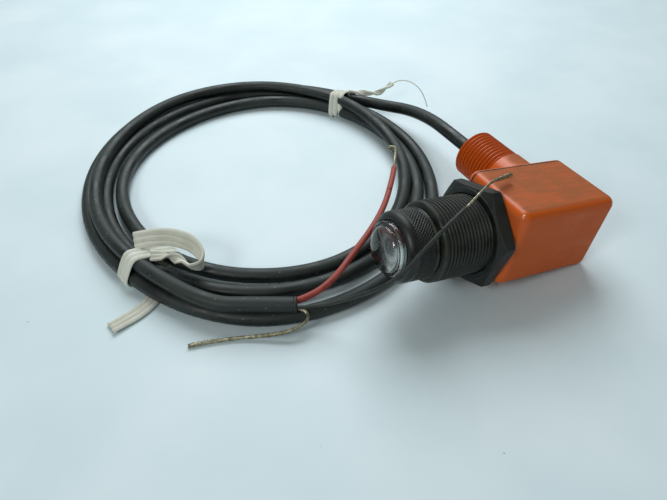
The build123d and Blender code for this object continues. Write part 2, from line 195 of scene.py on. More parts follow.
# Angle round the coil in degrees, lane from 0 at the inner edge to 1 at the outer, height
LANES = [
    (128, 0.84, 5.2),
    (160, 0.84, 3.1),
    (250, 0.93, 3.1),
    (308, 0.90, 3.9),
    (350, 1.12, 3.1),
    (395, 1.00, 3.1),
    (430, 0.86, 3.1),
    (493, 0.62, 3.9),
    (560, 0.60, 3.1),
    (610, 0.64, 3.1),
    (668, 0.60, 3.9),
    (710, 0.52, 3.1),
    (755, 0.54, 3.1),
    (853, 0.38, 3.9),
    (920, 0.32, 3.1),
    (970, 0.36, 3.1),
    (1028, 0.28, 3.9),
    (1070, 0.12, 3.1),
    (1115, 0.14, 3.1),
    (1150, 0.20, 4.4),
    (1185, 0.34, 7.6),
    (1213, 0.47, 9.4),
    (1255, 0.62, 8.4),
    (1300, 0.72, 8.0),
    (1350, 0.75, 8.2),
    (1388, 0.79, 9.0),
]
POINT_STEP = 20.0
LANE_WAVES = ((0.02, 2.3, 0.0), (0.015, 3.7, 1.0))  # how hand-wound turns stray from their lane


def coil_edge(edge, angle):
    """A point of the coil's inner or outer edge at this angle."""
    middle, half = edge
    a = radians(angle)
    turn = radians(COIL_TURN)
    along, across = half[0] * cos(a), half[1] * sin(a)
    x = along * cos(turn) - across * sin(turn)
    y = along * sin(turn) + across * cos(turn)
    return Vector((middle[0] + x, middle[1] + y, 0))


def coil_point(angle, lane, height):
    """A point at this angle round the coil, in this lane and at this height."""
    inner, outer = coil_edge(COIL_INNER, angle), coil_edge(COIL_OUTER, angle)
    return inner.lerp(outer, lane) + Vector((0, 0, height))


def lane_at(angle):
    """Lane and height at any angle, eased between the entries of LANES."""
    for (a0, lane0, high0), (a1, lane1, high1) in zip(LANES, LANES[1:]):
        if a0 <= angle <= a1:
            part = (angle - a0) / (a1 - a0)
            ease = part * part * (3 - 2 * part)
            return lane0 + (lane1 - lane0) * ease, high0 + (high1 - high0) * ease
    return LANES[-1][1:]


cable_route = [Vector(point) for point in LEAD_ROUTE]
steps = round((LANES[-1][0] - LANES[0][0]) / POINT_STEP)
for step in range(steps + 1):
    angle = LANES[0][0] + (LANES[-1][0] - LANES[0][0]) * step / steps
    lane, height = lane_at(angle)
    lane += sum(high * sin(radians(angle) * often + shift) for high, often, shift in LANE_WAVES)
    cable_route.append(coil_point(angle, lane, height))
tail = (Vector(TAIL_START), Vector(TAIL_END))
cable_route += [tail[0], tail[0].lerp(tail[1], 0.55), tail[1]]
print(len(cable_route), "points on the cable")

# %% [markdown]
# ## Round cords as curves
#
# A curve with a round bevel is the simplest true cable, and its length can be read back. The
# bevel is one metre and each point's radius is the cord's own in metres, because a curve's
# bounds are its points plus their radius. The order and the end setting go in after the
# points. A lead that is stripped keeps one curve, with thinner points where it is bare.

# %% Cords
BARE_SHARE = 0.25  # a stripped lead's bare stretch against its insulation, across


def cord_curve(name, route, diameter, resolution=8, sides=6, bare_from=None):
    """A round cord along a route in mm, thinner from the point number bare_from."""
    curve = bpy.data.curves.new(name, "CURVE")
    curve.dimensions = "3D"
    spline = curve.splines.new("NURBS")
    spline.points.add(len(route) - 1)
    for number, (point, place) in enumerate(zip(spline.points, route)):
        point.co = (*(Vector(place) * MM), 1.0)
        point.radius = diameter * MM / 2
        if bare_from is not None and number >= bare_from:
            point.radius *= BARE_SHARE
    spline.order_u = 3
    spline.use_endpoint_u = True
    spline.resolution_u = resolution
    curve.bevel_depth = 1.0
    curve.bevel_resolution = sides
    curve.use_fill_caps = True
    piece = bpy.data.objects.new(name, curve)
    bpy.context.collection.objects.link(piece)
    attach(piece, "root")
    return piece


def centre_line(route, resolution=8):
    """Points in mm along the smooth spline of a route."""
    guide = cord_curve("guide", route, 0.0, resolution)
    guide.data.bevel_depth = 0.0
    mesh = bpy.data.meshes.new_from_object(guide)
    line = [vertex.co / MM for vertex in mesh.vertices]
    bpy.data.objects.remove(guide)
    return line


def length_of(line):
    """Length of a line of points."""
    return sum((b - a).length for a, b in zip(line, line[1:]))


def stretch(line, route, first, last):
    """The part of a cord's line between two steps of its route."""
    step = (len(line) - 1) / (len(route) - 1)
    return line[round(first * step) : round(last * step) + 1]


cable = cord_curve("cable", cable_route, CABLE_DIAMETER, sides=10)
cable_line = centre_line(cable_route)
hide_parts("cable_lead", "cable_coil", "cable_tail")

RED_DIAMETER = 2.5
RED_ROUTE = [
    (5.25, -74.67, 9.45),
    (6.4, -68.0, 10.4),
    (3.4, -57.5, 12.2),
    (-4.5, -45.5, 13.6),
    (-13.0, -33.0, 14.2),
    (-24.0, -20.8, 13.8),
    (-38.0, -9.2, 12.6),
    (-51.5, 1.0, 11.9),
    (-61.0, 7.0, 12.2),
]
BLACK_DIAMETER = 1.4
BLACK_ROUTE = [
    (7.75, -75.93, 9.15),
    (11.4, -68.6, 9.8),
    (15.6, -61.5, 13.2),
    (21.2, -55.2, 19.2),
    (26.6, -50.2, 26.2),
    (28.8, -44.6, 33.2),
    (28.0, -37.6, 39.0),
    (26.4, -29.4, 43.4),
    (24.0, -20.6, 46.0),
    (20.0, -11.8, 46.8),
    (15.4, -3.4, 45.4),
    (11.9, 4.0, 42.2),
    (10.2, 10.6, 40.6),
]
RED_BARE_FROM, RED_CUT = 7, 7.1  # in steps of the route, the insulation is cut at the second
BLACK_BARE_FROM, BLACK_CUT = 8, 8.25
DRAIN_DIAMETER = 1.2
DRAIN_ROUTE = [
    (6.5, -75.3, 7.25),
    (9.0, -72.0, 6.9),
    (12.2, -72.6, 6.2),
    (13.4, -76.6, 4.9),
    (12.2, -82.4, 3.4),
    (9.2, -88.8, 2.0),
    (5.6, -96.6, 1.2),
    (2.6, -105.2, 1.0),
    (0.6, -114.2, 0.9),
]
lead_red = cord_curve("lead_red_insulation", RED_ROUTE, RED_DIAMETER, bare_from=RED_BARE_FROM)
lead_black = cord_curve(
    "lead_black_insulation", BLACK_ROUTE, BLACK_DIAMETER, bare_from=BLACK_BARE_FROM
)
drain = cord_curve("drain_wire_strands", DRAIN_ROUTE, DRAIN_DIAMETER)
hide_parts("lead_red")
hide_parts("lead_black")
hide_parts("drain_wire")
red_line, black_line, drain_line = (centre_line(r) for r in (RED_ROUTE, BLACK_ROUTE, DRAIN_ROUTE))
for cord, line, diameter, stiffness, lay in (
    (cable, cable_line, CABLE_DIAMETER, "medium", "coiled"),
    (lead_red, red_line, RED_DIAMETER, "medium", "loose"),
    (lead_black, black_line, BLACK_DIAMETER, "medium", "loose"),
    (drain, drain_line, DRAIN_DIAMETER, "limp", "loose"),
):
    print(f"{cord.name}: {length_of(line):.0f} mm long, {diameter} mm across")

# %% [markdown]
# ## Shapes that follow a line
#
# Strands, wires and straps all follow a line of points. A frame is carried along the line
# without twisting, and a ring of points is laid in it at each step.

# %% Line shapes


def carried_frames(line):
    """(along, side) unit vectors at each point of a line, carried on without twist."""
    frames = []
    side = Vector((0, 0, 1))
    for number, _ in enumerate(line):
        before, after = line[max(number - 1, 0)], line[min(number + 1, len(line) - 1)]
        along = (after - before).normalized()
        side = (side - along * side.dot(along)).normalized()
        frames.append((along, side))
    return frames


def tube(line, radius, sides=8):
    """A closed round tube along a line; radius is a number or a list of them."""
    radii = radius if isinstance(radius, list) else [radius] * len(line)
    points = []
    for place, (along, side), r in zip(line, carried_frames(line), radii):
        across = along.cross(side)
        for k in range(sides):
            a = 2 * pi * k / sides
            points.append(place + side * (r * cos(a)) + across * (r * sin(a)))
    return points, grid_faces(len(line), sides, caps=True)


def grid_faces(rows, columns, caps=False, ring=False):
    """Faces between rows of points that each close on themselves."""
    faces = []
    for i in range(rows if ring else rows - 1):
        j = (i + 1) % rows
        for k in range(columns):
            m = (k + 1) % columns
            faces.append([i * columns + k, i * columns + m, j * columns + m, j * columns + k])
    if caps:
        faces.append(list(range(columns)))
        faces.append(list(range((rows - 1) * columns, rows * columns)))
    return faces


def strand_bundle(line, count, radius, spread, pitch):
    """Strands twisted about a line; spread gives how far they stand off at a share of it."""
    frames = carried_frames(line)
    shapes = []
    for n in range(count):
        way, gone = [], 0.0
        for number, (place, (along, side)) in enumerate(zip(line, frames)):
            if number:
                gone += (place - line[number - 1]).length
            a = 2 * pi * (gone / pitch + n / count)
            off = spread(number / (len(line) - 1)) * (1 + 0.12 * sin(5.1 * n + gone))
            way.append(place + side * (off * cos(a)) + along.cross(side) * (off * sin(a)))
        shapes.append(tube(way, radius, 6))
    return shapes


def finish(piece, material):
    """Give a piece its material."""
    piece.data.materials.append(material)


# %% [markdown]
# ## Turned pieces of the head
#
# Barrel, collar and lens are turned or moulded round one axis, so each is a stack of rings.
# The barrel's thread is a real helix: its radius depends on the angle too. The collar's
# diamond knurl is where two sets of slanted V grooves cross. Crests and rims carry a value
# that the plastic's material reads to paint them paler: partly rubbed wear, partly a painted
# highlight.

# %% Barrel


def lathe(name, rings, sides, body, replaces=(), matrix=SEAT, ring=True):
    """Turn rings about +Z; a ring is (along, radius, paleness for wear and painted highlight) or a
    function of the angle.
    """
    points, wear_and_sheen = [], []
    for ring_at in rings:
        for k in range(sides):
            a = 2 * pi * k / sides
            along, radius, pale_and_sheen = ring_at(a) if callable(ring_at) else ring_at
            points.append(Vector((radius * cos(a), radius * sin(a), along)))
            wear_and_sheen.append(pale_and_sheen)
    faces = grid_faces(len(rings), sides, caps=not ring, ring=ring)
    return new_piece(name, [(points, faces)], body, replaces, matrix, wear_and_sheen)


BARREL_R = 15.0
BARREL_PITCH = 1.5
THREAD_DEPTH = 0.92
THREAD_REAR, THREAD_FRONT = 0.4, 25.0
BARREL_FRONT = 27.0
NOSE_R = 11.3
NOSE_FRONT = 35.4
BORE_R = 9.5
SHANK_R = 10.95
SHANK_REAR = -5.0


def thread_ring(along):
    """The ring of the barrel's thread at this distance, as a function of the angle."""

    def ring_at(angle):
        turn = (along / BARREL_PITCH - angle / (2 * pi)) % 1.0
        ridge = min(1.0, 1.25 * abs(2 * turn - 1))
        ends = min(1.0, (along - THREAD_REAR) / 1.2, (THREAD_FRONT - along) / 0.9)
        # the crest's paleness: partly rubbed wear, partly a painted highlight
        pale_and_sheen = max(0.0, ridge - 0.8) * 5 * max(ends, 0.0)
        floor_r = BARREL_R - THREAD_DEPTH
        return along, floor_r + THREAD_DEPTH * ridge * max(ends, 0.0), pale_and_sheen

    return ring_at


thread_rings = round((THREAD_FRONT - THREAD_REAR) / (BARREL_PITCH / 10))
barrel_rings = [(0.0, BARREL_R - THREAD_DEPTH, 0.0)]
for number in range(thread_rings + 1):
    part = number / thread_rings
    barrel_rings.append(thread_ring(THREAD_REAR + (THREAD_FRONT - THREAD_REAR) * part))
# the third numbers paint the front band's edges paler: partly rubbed wear, partly a painted highlight
barrel_rings += [
    (THREAD_FRONT + 0.3, BARREL_R - 0.25, 0.1),
    (THREAD_FRONT + 0.5, BARREL_R - 0.1, 0.5),
    (BARREL_FRONT - 0.85, BARREL_R - 0.1, 0.2),
    (BARREL_FRONT - 0.65, BARREL_R - 0.2, 0.9),
    (BARREL_FRONT - 0.15, BARREL_R - 0.72, 0.5),
    (BARREL_FRONT, BARREL_R - 1.0, 0.3),
    (BARREL_FRONT, NOSE_R + 0.2, 0.0),
    (BARREL_FRONT + 0.2, NOSE_R, 0.0),
    (NOSE_FRONT - 0.2, NOSE_R, 0.0),
    (NOSE_FRONT, NOSE_R - 0.2, 0.0),
    (NOSE_FRONT, BORE_R + 0.2, 0.0),
    (NOSE_FRONT - 0.2, BORE_R, 0.0),
    (SHANK_REAR + 0.2, BORE_R, 0.0),
    (SHANK_REAR, BORE_R + 0.2, 0.0),
    (SHANK_REAR, SHANK_R - 0.2, 0.0),
    (SHANK_REAR + 0.2, SHANK_R, 0.0),
    (0.0, SHANK_R, 0.0),
]
barrel = lathe("barrel_threaded", barrel_rings, 160, "root", ["barrel"])

# %% [markdown]
# ## Lens collar
#
# The collar is moulded black plastic that is turned by hand to set the lens, so it has a
# diamond knurl. A bump map would leave the outline smooth, so the knurl is real shape: at
# each point, the deeper of two slanted grooves. A plain rounded lip holds the lens.

# %% Collar with a diamond knurl
COLLAR_R = 13.0
COLLAR_REAR, COLLAR_FRONT = 27.5, 38.6
KNURL_REAR, KNURL_FRONT = 29.0, 35.9
KNURL_COUNT = 64
KNURL_PITCH = 1.25
KNURL_DEPTH = 0.38


def knurl_ring(along):
    """The ring of the knurl at this distance, as a function of the angle."""

    def ring_at(angle):
        right = (angle * KNURL_COUNT / (2 * pi) + along / KNURL_PITCH) % 1.0
        left = (angle * KNURL_COUNT / (2 * pi) - along / KNURL_PITCH) % 1.0
        peak = min(abs(2 * right - 1), abs(2 * left - 1))
        peak = min(1.0, 1.5 * peak)
        ends = min(1.0, (along - KNURL_REAR) / 0.5, (KNURL_FRONT - along) / 0.5)
        radius = COLLAR_R - 0.05 - KNURL_DEPTH * (1 - peak * max(ends, 0.0))
        # the knurl's peaks are painted a little paler: partly rubbed wear, partly a painted highlight
        return along, radius, 0.35 * peak * peak

    return ring_at


knurl_rings = round((KNURL_FRONT - KNURL_REAR) / 0.15)
# the third numbers paint the rims paler: partly rubbed wear, partly a painted highlight
collar_rings = [
    (COLLAR_REAR, NOSE_R + 0.1, 0.0),
    (COLLAR_REAR, COLLAR_R - 0.5, 0.2),
    (COLLAR_REAR + 0.15, COLLAR_R - 0.15, 1.0),
    (COLLAR_REAR + 0.45, COLLAR_R, 1.0),
    (COLLAR_REAR + 1.0, COLLAR_R, 0.3),
    (COLLAR_REAR + 1.2, COLLAR_R - 0.1, 0.5),
    (COLLAR_REAR + 1.35, COLLAR_R - 0.45, 0.0),
]
for number in range(knurl_rings + 1):
    collar_rings.append(knurl_ring(KNURL_REAR + (KNURL_FRONT - KNURL_REAR) * number / knurl_rings))
collar_rings += [
    (KNURL_FRONT + 0.15, COLLAR_R - 0.45, 0.0),
    (KNURL_FRONT + 0.3, COLLAR_R - 0.15, 0.5),
    (KNURL_FRONT + 0.5, COLLAR_R - 0.05, 0.2),
    (COLLAR_FRONT - 1.2, COLLAR_R - 0.05, 0.0),
    (COLLAR_FRONT - 0.6, COLLAR_R - 0.15, 0.0),
    (COLLAR_FRONT - 0.1, COLLAR_R - 0.4, 0.0),
    (COLLAR_FRONT + 0.5, COLLAR_R - 0.95, 0.0),
    (COLLAR_FRONT + 0.95, COLLAR_R - 1.6, 0.0),
    (COLLAR_FRONT + 1.1, COLLAR_R - 2.1, 0.0),
    (COLLAR_FRONT + 1.1, COLLAR_R - 2.7, 0.0),
    (COLLAR_FRONT + 0.9, COLLAR_R - 3.0, 0.0),
    (COLLAR_FRONT - 1.0, COLLAR_R - 3.0, 0.0),
    (COLLAR_FRONT - 1.15, COLLAR_R - 3.0, 0.0),
    (COLLAR_FRONT - 1.15, NOSE_R + 0.1, 0.0),
]
collar = lathe("lens_collar_knurled", collar_rings, 512, "collar", ["lens_collar"])

# %% [markdown]
# ## Lens
#
# A moulded lens has a flange that the collar presses on, a straight wall and a domed face.
# It is closed and turned ring by ring, because light has to enter one true surface and
# leave by another. The back is textured, which hides the element, and tinted dark as painted
# shade, so its faces are kept apart for a second material.

# %% Lens
LENS_REAR, LENS_EDGE, LENS_CROWN = 36.2, 41.6, 44.6
LENS_R = 9.9
DOME_R = 8.3
lens_rings = [
    (LENS_REAR, 0.05, 0.0),
    (LENS_REAR, 4.0, 0.0),
    (LENS_REAR, 8.0, 0.0),
    (LENS_REAR, 10.9, 0.0),
    (LENS_REAR + 0.1, 11.0, 0.0),
    (LENS_REAR + 1.1, 11.0, 0.0),
    (LENS_REAR + 1.2, 10.9, 0.0),
    (LENS_REAR + 1.2, LENS_R + 0.1, 0.0),
    (LENS_REAR + 1.3, LENS_R, 0.0),
    (LENS_EDGE - 0.9, LENS_R, 0.0),
    (LENS_EDGE - 0.45, LENS_R - 0.1, 0.0),
    (LENS_EDGE - 0.15, LENS_R - 0.35, 0.0),
    (LENS_EDGE - 0.05, LENS_R - 0.7, 0.0),
    (LENS_EDGE - 0.1, DOME_R + 0.35, 0.0),
]
DOME_STEPS = 24
for number in range(DOME_STEPS):
    a = pi / 2 * number / DOME_STEPS
    lens_rings.append((LENS_EDGE + (LENS_CROWN - LENS_EDGE) * sin(a), DOME_R * cos(a), 0.0))
lens_rings.append((LENS_CROWN, 0.05, 0.0))
LENS_SIDES = 128
BACK_RINGS = 10
lens = lathe("lens_clear", lens_rings, LENS_SIDES, "lens_set", ["lens"], ring=False)

# %% [markdown]
# ## Cut ends
#
# The cable is cut square and its jacket stands a little proud of what it holds. The red and
# black conductors are stripped by hand, so their strands twist, and splay at the tip.

# %% Cut ends
tail_along = (tail[1] - tail[0]).normalized()
tail_side = tail_along.cross(Vector((0, 0, 1))).normalized()
TAIL_SEAT = seat_at(tail[1] * MM, tail_side, tail_along)
JACKET_R = CABLE_DIAMETER / 2
jacket_rings = [
    (-0.6, JACKET_R - 0.75, 0.0),
    (-0.6, JACKET_R + 0.02, 0.0),
    (0.45, JACKET_R + 0.03, 0.0),
    (0.62, JACKET_R - 0.12, 0.0),
    (0.66, JACKET_R - 0.4, 0.0),
    (0.55, JACKET_R - 0.66, 0.0),
    (0.3, JACKET_R - 0.75, 0.0),
]
jacket_end = lathe("cable_cut_end", jacket_rings, 48, "root", matrix=TAIL_SEAT)

red_tip = stretch(red_line, RED_ROUTE, RED_CUT - 0.3, len(RED_ROUTE) - 1)
RED_HOOK = ((-1.2, -0.3, 0.4), (-2.0, -1.4, 0.5), (-2.4, -2.6, 0.2))
red_tip += [red_tip[-1] + Vector(step) for step in RED_HOOK]
red_end = new_piece(
    "lead_red_insulation_end",
    [tube(stretch(red_line, RED_ROUTE, RED_BARE_FROM - 1.2, RED_CUT), RED_DIAMETER / 2, 20)],
    "root",
)
red_bare = new_piece(
    "lead_red_bare_end",
    strand_bundle(centre_line(red_tip, 4), 7, 0.2, lambda share: 0.36 + 0.5 * share**3, 6.0),
    "root",
)
black_tail = stretch(black_line, BLACK_ROUTE, BLACK_CUT - 0.3, len(BLACK_ROUTE) - 1)
black_end = new_piece(
    "lead_black_insulation_end",
    [tube(stretch(black_line, BLACK_ROUTE, BLACK_BARE_FROM - 1.2, BLACK_CUT), BLACK_DIAMETER / 2, 20)],
    "root",
)
black_bare = new_piece(
    "lead_black_bare_end",
    strand_bundle(black_tail, 7, 0.17, lambda share: 0.3 + 1.6 * max(0.0, share - 0.62), 7.0),
    "root",
)
drain_bare = new_piece(
    "drain_wire_twist",
    strand_bundle(drain_line, 4, 0.24, lambda share: 0.3 + 0.3 * share + 0.08 * sin(14 * share), 9.0),
    "root",
)

# %% [markdown]
# ## Ties
#
# Each tie is a flat strip with raised ribs over its core wires. It goes round the bundle as
# a taut loop: the outline round the strands that pass there. Its ends are twisted together
# and stick out. A strip is a ribbed section laid along stations, each with its own
# direction for the strip's width, so it can turn over on its way.

# %% Ties
STRIP_WIDE = 7.6
STRIP_THICK = 0.8
STRIP_RIBS = 3
STRIP_POINTS = 30  # across one face of the strip
LOOP_CLEAR = 0.45  # between the cable and the middle of the strip
LOOP_LOWEST = 0.4  # the strip's middle stays this far above the table
LOOP_STEP = 1.4
BUNDLE_REACH = 25  # strands further than this from the coil's middle line aren't in the bundle
ROUND_POINTS = 32




def strip(stations, wide=STRIP_WIDE, step=8):
    """A ribbed strip through (place, width direction) stations."""
    places = centre_line([place for place, _ in stations], step)
    points = []
    for number, place in enumerate(places):
        at = number / (len(places) - 1) * (len(stations) - 1)
        first = min(int(at), len(stations) - 2)
        width = stations[first][1].lerp(stations[first + 1][1], at - first)
        before, after = places[max(number - 1, 0)], places[min(number + 1, len(places) - 1)]
        along = (after - before).normalized()
        width = (width - along * width.dot(along)).normalized()
        face = along.cross(width)
        for side in (1, -1):
            for k in range(STRIP_POINTS + 1):
                share = k / STRIP_POINTS if side > 0 else 1 - k / STRIP_POINTS
                rib = abs(sin(pi * STRIP_RIBS * share)) ** 0.8
                high = side * STRIP_THICK * (0.12 + 0.75 * rib)
                points.append(place + width * ((share - 0.5) * wide) + face * high)
    return points, grid_faces(len(places), 2 * (STRIP_POINTS + 1), caps=True)


def outline_round(middles, radius):
    """The taut outline round circles of one radius, as a closed list of points."""
    cloud = []
    for x, y in middles:
        for k in range(ROUND_POINTS):
            a = 2 * pi * k / ROUND_POINTS
            cloud.append((x + radius * cos(a), y + radius * sin(a)))
    cloud.sort()

    def half(points):
        chain = []
        for p in points:
            while len(chain) > 1 and (
                (chain[-1][0] - chain[-2][0]) * (p[1] - chain[-2][1])
                - (chain[-1][1] - chain[-2][1]) * (p[0] - chain[-2][0])
            ) <= 0:
                chain.pop()
            chain.append(p)
        return chain[:-1]

    return half(cloud) + half(cloud[::-1])


def coil_middles(angle):
    """The coil's middle and plane at this angle, and where its strands cross that plane."""
    inner, outer = coil_edge(COIL_INNER, angle), coil_edge(COIL_OUTER, angle)
    across = (outer - inner).normalized()
    plane = across.cross(Vector((0, 0, 1)))
    middle = (inner + outer) / 2
    found = []
    for a, b in zip(cable_line, cable_line[1:]):
        first, second = (a - middle).dot(plane), (b - middle).dot(plane)
        if first * second <= 0 and first != second:
            place = a.lerp(b, first / (first - second))
            off = (place - middle).dot(across)
            if abs(off) < BUNDLE_REACH:
                found.append((off, place.z))
    return middle, across, plane, found


def tie_loop(angle):
    """The strip round the bundle at this angle of the coil."""
    middle, across, plane, found = coil_middles(angle)
    print(f"tie at {angle}: {len(found)} strands")
    even = []
    for x, y in outline_round(found, JACKET_R + LOOP_CLEAR):
        place = middle + across * x + Vector((0, 0, y))
        place.z = max(place.z, LOOP_LOWEST)
        if not even or (place - even[-1]).length > LOOP_STEP:
            even.append(place)
    even += even[:2]
    return strip([(place, plane) for place in even], step=3)


def placed(*stations):
    """Stations from rows of six numbers: place in mm and width direction."""
    return [(Vector(row[:3]), Vector(row[3:]).normalized()) for row in stations]


FRONT_ENDS = [
    strip(
        placed(
            (-48.6, -119.6, 13.4, -0.55, 0.55, 0.6),
            (-46.0, -111.6, 14.6, -0.5, 0.45, 0.7),
            (-41.4, -104.6, 15.0, -0.45, 0.4, 0.75),
            (-35.4, -99.6, 14.4, -0.3, 0.35, 0.85),
            (-29.0, -98.0, 12.6, -0.1, 0.3, 0.95),
            (-25.0, -100.0, 10.8, 0.2, 0.1, 0.95),
            (-27.4, -103.4, 10.6, 0.5, -0.2, 0.8),
        ),
        wide=7.0,
    ),
    strip(
        placed(
            (-27.4, -103.4, 10.6, 0.5, -0.2, 0.8),
            (-29.6, -104.6, 10.8, 0.1, -0.5, 0.9),
            (-32.0, -105.8, 11.0, 0.6, -0.7, 0.2),
            (-34.2, -107.6, 11.2, 0.5, -0.1, -0.9),
            (-36.2, -110.0, 11.6, -0.2, 0.6, -0.8),
            (-37.6, -112.6, 11.8, -0.7, 0.7, 0.1),
            (-39.2, -115.8, 11.8, -0.5, 0.4, 0.6),
        ),
        wide=4.4,
        step=10,
    ),
    strip(
        placed(
            (-31.6, -116.0, 1.0, 0.6, 0.7, 0.0),
            (-27.4, -119.4, 0.9, 0.7, 0.6, 0.0),
            (-23.6, -124.6, 0.9, 0.8, 0.5, 0.0),
            (-21.4, -130.6, 0.9, 0.85, 0.4, 0.0),
            (-19.6, -137.0, 1.1, 0.9, 0.3, 0.1),
        ),
        wide=6.2,
    ),
]
tie_front = new_piece("tie_front_strip", [tie_loop(308), *FRONT_ENDS], "root", ["tie_front"])
BACK_ENDS = [
    strip(
        placed(
            (-128.0, 17.0, 9.0, 0.2, -0.5, 0.8),
            (-124.4, 21.6, 9.6, 0.9, 0.2, -0.3),
            (-120.6, 25.6, 9.6, -0.3, 0.3, -0.8),
            (-119.0, 30.4, 9.4, -0.8, -0.4, 0.3),
            (-120.4, 36.0, 10.0, 0.3, -0.5, 0.8),
            (-122.6, 41.6, 11.2, 0.8, 0.3, -0.3),
        ),
        wide=3.4,
        step=10,
    ),
]
BACK_WIRE = (
    (-121.6, 39.0, 10.6),
    (-122.6, 43.6, 12.4),
    (-117.0, 48.4, 14.4),
    (-109.8, 51.6, 12.6),
    (-104.6, 53.0, 7.6),
    (-102.4, 53.4, 3.4),
)
BACK_ENDS.append(tube(centre_line(BACK_WIRE), 0.3))
tie_back = new_piece("tie_back_strip", [tie_loop(133), *BACK_ENDS], "root", ["tie_back"])

# %% [markdown]
# ## Plastics
#
# Everything here is old stock: moulded plastic with a satin skin, handled and dusty. One
# recipe covers it. Dust settles where the surface looks up and where the cloud pattern is
# dense; edges and crests are painted paler, partly as rubbed wear and partly as a painted
# highlight. Grain and cloud are set in mm, and the grain is drawn several times coarser than
# a real moulded skin so that it can be seen.

# %% Dusty plastic


def dusty(name, base, dust, pale_and_sheen, roughness, share=0.5, cloud_mm=9.0, grain_mm=0.35,
          relief_mm=0.02, round_mm=0.0, wear_and_sheen=0.0, specks=0.0):
    """A satin plastic or rubber with dust on it; round_mm softens the edges in the light."""
    material, tree, shader = new_material(name)
    place = add_node(tree, "ShaderNodeTexCoord").outputs["Object"]
    geometry = add_node(tree, "ShaderNodeNewGeometry")
    up = add_node(tree, "ShaderNodeSeparateXYZ", {0: geometry.outputs["Normal"]}).outputs["Z"]
    cloud = add_node(tree, "ShaderNodeTexNoise",
                     {"Vector": place, "Scale": 1 / (cloud_mm * MM), "Detail": 6.0, "Roughness": 0.62})
    grain = add_node(tree, "ShaderNodeTexNoise",
                     {"Vector": place, "Scale": 1 / (grain_mm * MM), "Detail": 3.0})
    settled = add_node(tree, "ShaderNodeMath", {0: up, 1: 0.22, 2: cloud.outputs[0]},
                       operation="MULTIPLY_ADD")
    lying = add_node(tree, "ShaderNodeMapRange",
                     {"Value": settled.outputs[0], "From Min": 0.42, "From Max": 0.82, "To Max": share},
                     interpolation_type="SMOOTHSTEP").outputs[0]
    colour = add_node(tree, "ShaderNodeMix", {0: lying, 6: linear(base), 7: linear(dust)},
                      data_type="RGBA").outputs[2]
    if specks:
        cells = add_node(tree, "ShaderNodeTexVoronoi", {"Vector": place, "Scale": 1 / (2.6 * MM)})
        dots = add_node(tree, "ShaderNodeMapRange",
                        {"Value": cells.outputs["Distance"], "From Min": 0.13,
                         "From Max": 0.05, "To Max": specks},
                        interpolation_type="SMOOTHSTEP").outputs[0]
        colour = add_node(tree, "ShaderNodeMix", {0: dots, 6: colour, 7: linear(pale_and_sheen)},
                          data_type="RGBA").outputs[2]
    # Crests, rims and, with round_mm, every edge are painted paler: partly rubbed wear, partly a painted
    # highlight
    rubbed_and_sheen = add_node(tree, "ShaderNodeAttribute", attribute_name="wear_and_sheen").outputs["Fac"]
    if round_mm:
        soft = add_node(tree, "ShaderNodeBevel", {"Radius": round_mm * MM}, samples=6)
        same = add_node(tree, "ShaderNodeVectorMath",
                        {0: soft.outputs[0], 1: geometry.outputs["Normal"]}, operation="DOT_PRODUCT")
        edge = add_node(tree, "ShaderNodeMapRange",
                        {"Value": same.outputs["Value"], "From Min": 0.985, "From Max": 0.9},
                        interpolation_type="SMOOTHSTEP").outputs[0]
        rubbed_and_sheen = add_node(tree, "ShaderNodeMath", {0: rubbed_and_sheen, 1: edge}, operation="MAXIMUM").outputs[0]
    patchy = add_node(tree, "ShaderNodeMapRange",
                      {"Value": cloud.outputs[0], "From Min": 0.38, "From Max": 0.62},
                      interpolation_type="SMOOTHSTEP").outputs[0]
    strength = add_node(tree, "ShaderNodeMath", {0: rubbed_and_sheen, 1: patchy}, operation="MULTIPLY")
    strength = add_node(tree, "ShaderNodeMath", {0: strength.outputs[0], 1: wear_and_sheen}, operation="MULTIPLY")
    colour = add_node(tree, "ShaderNodeMix", {0: strength.outputs[0], 6: colour, 7: linear(pale_and_sheen)},
                      data_type="RGBA").outputs[2]
    tree.links.new(colour, shader.inputs["Base Color"])
    rough = add_node(tree, "ShaderNodeMapRange",
                     {"Value": lying, "From Max": share, "To Min": roughness,
                      "To Max": min(1.0, roughness + 0.3)})
    tree.links.new(rough.outputs[0], shader.inputs["Roughness"])
    bump = add_node(tree, "ShaderNodeBump",
                    {"Height": grain.outputs[0], "Strength": 0.35, "Distance": relief_mm * MM})
    if round_mm:
        tree.links.new(soft.outputs[0], bump.inputs["Normal"])
    tree.links.new(bump.outputs[0], shader.inputs["Normal"])
    shader.inputs["IOR"].default_value = 1.5
    return material


# Glass-filled nylon or similar, moulded: satin, with dust lying in its grain; edges painted paler, partly
# wear and partly a painted highlight
black_plastic = dusty("glass_filled_black_plastic", "#060A07", "#18221B", "#3E432C", 0.42, share=0.75,
                      round_mm=0.35, wear_and_sheen=0.5, cloud_mm=6.0)
# The same plastic on the thread: crests painted a dry olive, partly rubbed wear and partly a painted
# highlight
thread_plastic = dusty("black_plastic_thread", "#070B08", "#151C16", "#474B2A", 0.38, share=0.6,
                       wear_and_sheen=0.5, cloud_mm=7.0)
# The collar's skin is smoother from handling, so its lip mirrors a soft light
# its rims and knurl peaks are painted pale olive: partly rubbed wear, partly a painted highlight
collar_plastic = dusty("black_plastic_collar", "#0A0F0D", "#1B231C", "#5A5E38", 0.26, share=0.6,
                       wear_and_sheen=0.6, cloud_mm=9.0)
# Moulded rubber: dead matt, greyish where it is dusty
seal_rubber = dusty("moulded_seal_rubber", "#101211", "#2A2E2B", "#3A3E39", 0.55, round_mm=0.15)
# Machined acetal: an even, slightly waxy black
holder_plastic = dusty("black_acetal_holder", "#0A0B0B", "#141616", "#1C1E1C", 0.5, round_mm=0.2)
